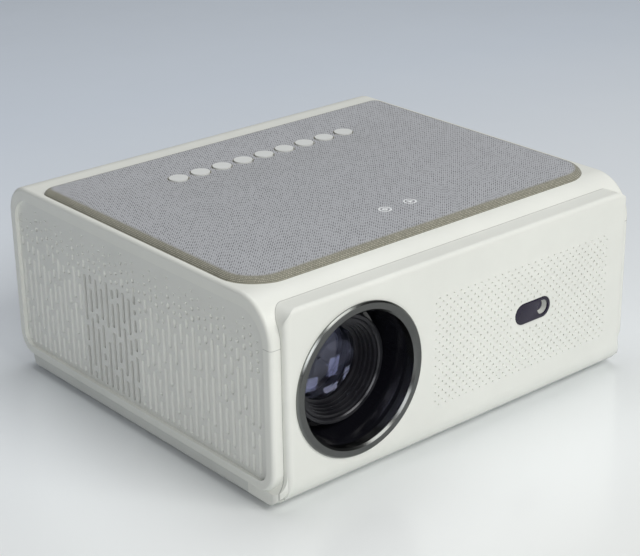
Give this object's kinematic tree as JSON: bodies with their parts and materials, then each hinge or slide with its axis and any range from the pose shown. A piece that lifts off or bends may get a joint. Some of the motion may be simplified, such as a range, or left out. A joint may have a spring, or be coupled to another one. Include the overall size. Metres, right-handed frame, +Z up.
{
  "type": "projector with disc drive",
  "caption": "White desktop video projector with a slotted side grille, fabric-topped case with push keys, deep-set focusing lens, and a disc drive whose tray slides out of the side.",
  "frame": {"origin": "table level, under the middle of the bounding box", "axes": "+Z up, the lens looks to -Y, the slotted grille faces -X and the disc tray slides out to +X"},
  "size_m": [0.236, 0.219, 0.1073],
  "materials": {
    "case_white": "fine satin moulding, warm white",
    "panel_white": "satin moulding, cool white",
    "base_grey": "satin moulding, pale grey",
    "dark_plastic": "fine spark texture, near black",
    "fabric_grey": "tight two-tone weave, mid grey",
    "key_white": "satin cap, off white",
    "circuit_green": "solder-masked laminate",
    "circuit_tan": "bare paper laminate",
    "bezel_metal": "anodised dark grey with a turned sheen",
    "gloss_black": "polished black",
    "lens_glass": "coated clear glass with a faint blue-violet reflection",
    "window_dark": "smoked infrared-passing window",
    "receiver_dark": "dark epoxy dome",
    "mirror": "front-silvered",
    "panel_glass": "dark display glass",
    "lamp_yellow": "phosphor cap on a white substrate",
    "sink_aluminium": "extruded, clear anodised",
    "steel": "rolled, zinc plated",
    "rubber_black": "matte",
    "insert_brass": "turned"
  },
  "bodies": {
    "chassis": {"top_shell": "case_white", "lower_shell": "case_white", "base_plate": "base_grey", "front_cover": "case_white", "left_grille": "panel_white", "right_panel": "panel_white", "rear_panel": "dark_plastic", "pad_plate": "dark_plastic", "fabric_pad": "fabric_grey", "key_board": "circuit_green", "lens_bezel": "bezel_metal", "lens_shroud": "gloss_black", "lens_holder": "dark_plastic", "ir_window": "window_dark", "ir_receiver": "receiver_dark", "engine_case": "dark_plastic", "engine_lid": "dark_plastic", "fold_mirror": "mirror", "lcd_panel": "panel_glass", "fresnel_lens": "lens_glass", "condenser_lens": "lens_glass", "led_module": "lamp_yellow", "heat_sink": "sink_aluminium", "intake_fan_frame": "dark_plastic", "exhaust_fan_frame": "dark_plastic", "speaker_left": "dark_plastic", "speaker_right": "dark_plastic", "drive_case": "steel", "main_board": "circuit_green", "power_board": "circuit_tan", "sockets": "steel", "power_inlet": "dark_plastic", "case_screws": "steel", "feet": "rubber_black", "tripod_insert": "insert_brass"},
    "key_1": {"key_1": "key_white"},
    "key_2": {"key_2": "key_white"},
    "key_3": {"key_3": "key_white"},
    "key_4": {"key_4": "key_white"},
    "key_5": {"key_5": "key_white"},
    "key_6": {"key_6": "key_white"},
    "key_7": {"key_7": "key_white"},
    "key_8": {"key_8": "key_white"},
    "key_9": {"key_9": "key_white"},
    "focus": {"focus_ring": "dark_plastic"},
    "barrel": {"lens_barrel": "bezel_metal", "front_element": "lens_glass", "rear_element": "lens_glass"},
    "intake_fan": {"intake_rotor": "dark_plastic"},
    "exhaust_fan": {"exhaust_rotor": "dark_plastic"},
    "tray": {"disc_tray": "dark_plastic", "tray_bezel": "panel_white", "spindle_motor": "steel", "guide_rods": "steel"},
    "spindle": {"spindle_hub": "dark_plastic"},
    "sled": {"pickup_sled": "dark_plastic"},
    "screw": {"lead_screw": "steel"},
    "eject": {"eject_button": "panel_white"}
  },
  "joints": [
    {"name": "key_1_press", "type": "slide", "parent": "chassis", "child": "key_1", "axis": [0, 0, -1], "range_m": [0, 0.0008], "stiffness_N_per_m": 400},
    {"name": "key_2_press", "type": "slide", "parent": "chassis", "child": "key_2", "axis": [0, 0, -1], "range_m": [0, 0.0008], "stiffness_N_per_m": 400},
    {"name": "key_3_press", "type": "slide", "parent": "chassis", "child": "key_3", "axis": [0, 0, -1], "range_m": [0, 0.0008], "stiffness_N_per_m": 400},
    {"name": "key_4_press", "type": "slide", "parent": "chassis", "child": "key_4", "axis": [0, 0, -1], "range_m": [0, 0.0008], "stiffness_N_per_m": 400},
    {"name": "key_5_press", "type": "slide", "parent": "chassis", "child": "key_5", "axis": [0, 0, -1], "range_m": [0, 0.0008], "stiffness_N_per_m": 400},
    {"name": "key_6_press", "type": "slide", "parent": "chassis", "child": "key_6", "axis": [0, 0, -1], "range_m": [0, 0.0008], "stiffness_N_per_m": 400},
    {"name": "key_7_press", "type": "slide", "parent": "chassis", "child": "key_7", "axis": [0, 0, -1], "range_m": [0, 0.0008], "stiffness_N_per_m": 400},
    {"name": "key_8_press", "type": "slide", "parent": "chassis", "child": "key_8", "axis": [0, 0, -1], "range_m": [0, 0.0008], "stiffness_N_per_m": 400},
    {"name": "key_9_press", "type": "slide", "parent": "chassis", "child": "key_9", "axis": [0, 0, -1], "range_m": [0, 0.0008], "stiffness_N_per_m": 400},
    {"name": "focus_turn", "type": "hinge", "parent": "chassis", "child": "focus", "pos_m": [-0.0696, -0.088, 0.0542], "axis": [0, 1, 0], "range_deg": [-60, 60]},
    {"name": "barrel_slide", "type": "slide", "parent": "chassis", "child": "barrel", "axis": [0, 1, 0], "range_m": [-0.003, 0.003]},
    {"name": "intake_spin", "type": "hinge", "parent": "chassis", "child": "intake_fan", "pos_m": [-0.1063, 0.02319, 0.046], "axis": [1, 0, 0], "continuous": true},
    {"name": "exhaust_spin", "type": "hinge", "parent": "chassis", "child": "exhaust_fan", "pos_m": [0.0775, -0.003, 0.046], "axis": [1, 0, 0], "continuous": true},
    {"name": "tray_slide", "type": "slide", "parent": "chassis", "child": "tray", "axis": [1, 0, 0], "range_m": [0, 0.118]},
    {"name": "spindle_spin", "type": "hinge", "parent": "tray", "child": "spindle", "pos_m": [0.0495, 0.01, 0.0872], "axis": [0, 0, 1], "continuous": true},
    {"name": "screw_turn", "type": "hinge", "parent": "tray", "child": "screw", "pos_m": [0.0195, 0.0275, 0.0835], "axis": [1, 0, 0], "range_deg": [0, 3722]},
    {"name": "sled_slide", "type": "slide", "parent": "tray", "child": "sled", "axis": [-1, 0, 0], "range_m": [0, 0.031]},
    {"name": "eject_press", "type": "slide", "parent": "tray", "child": "eject", "axis": [-1, 0, 0], "range_m": [0, 0.0008], "stiffness_N_per_m": 400}
  ],
  "couplings": [
    {"joint": "focus_turn", "follows": "barrel_slide", "rad_per_m": 349},
    {"joint": "screw_turn", "follows": "sled_slide", "rad_per_m": 2094.4}
  ]
}
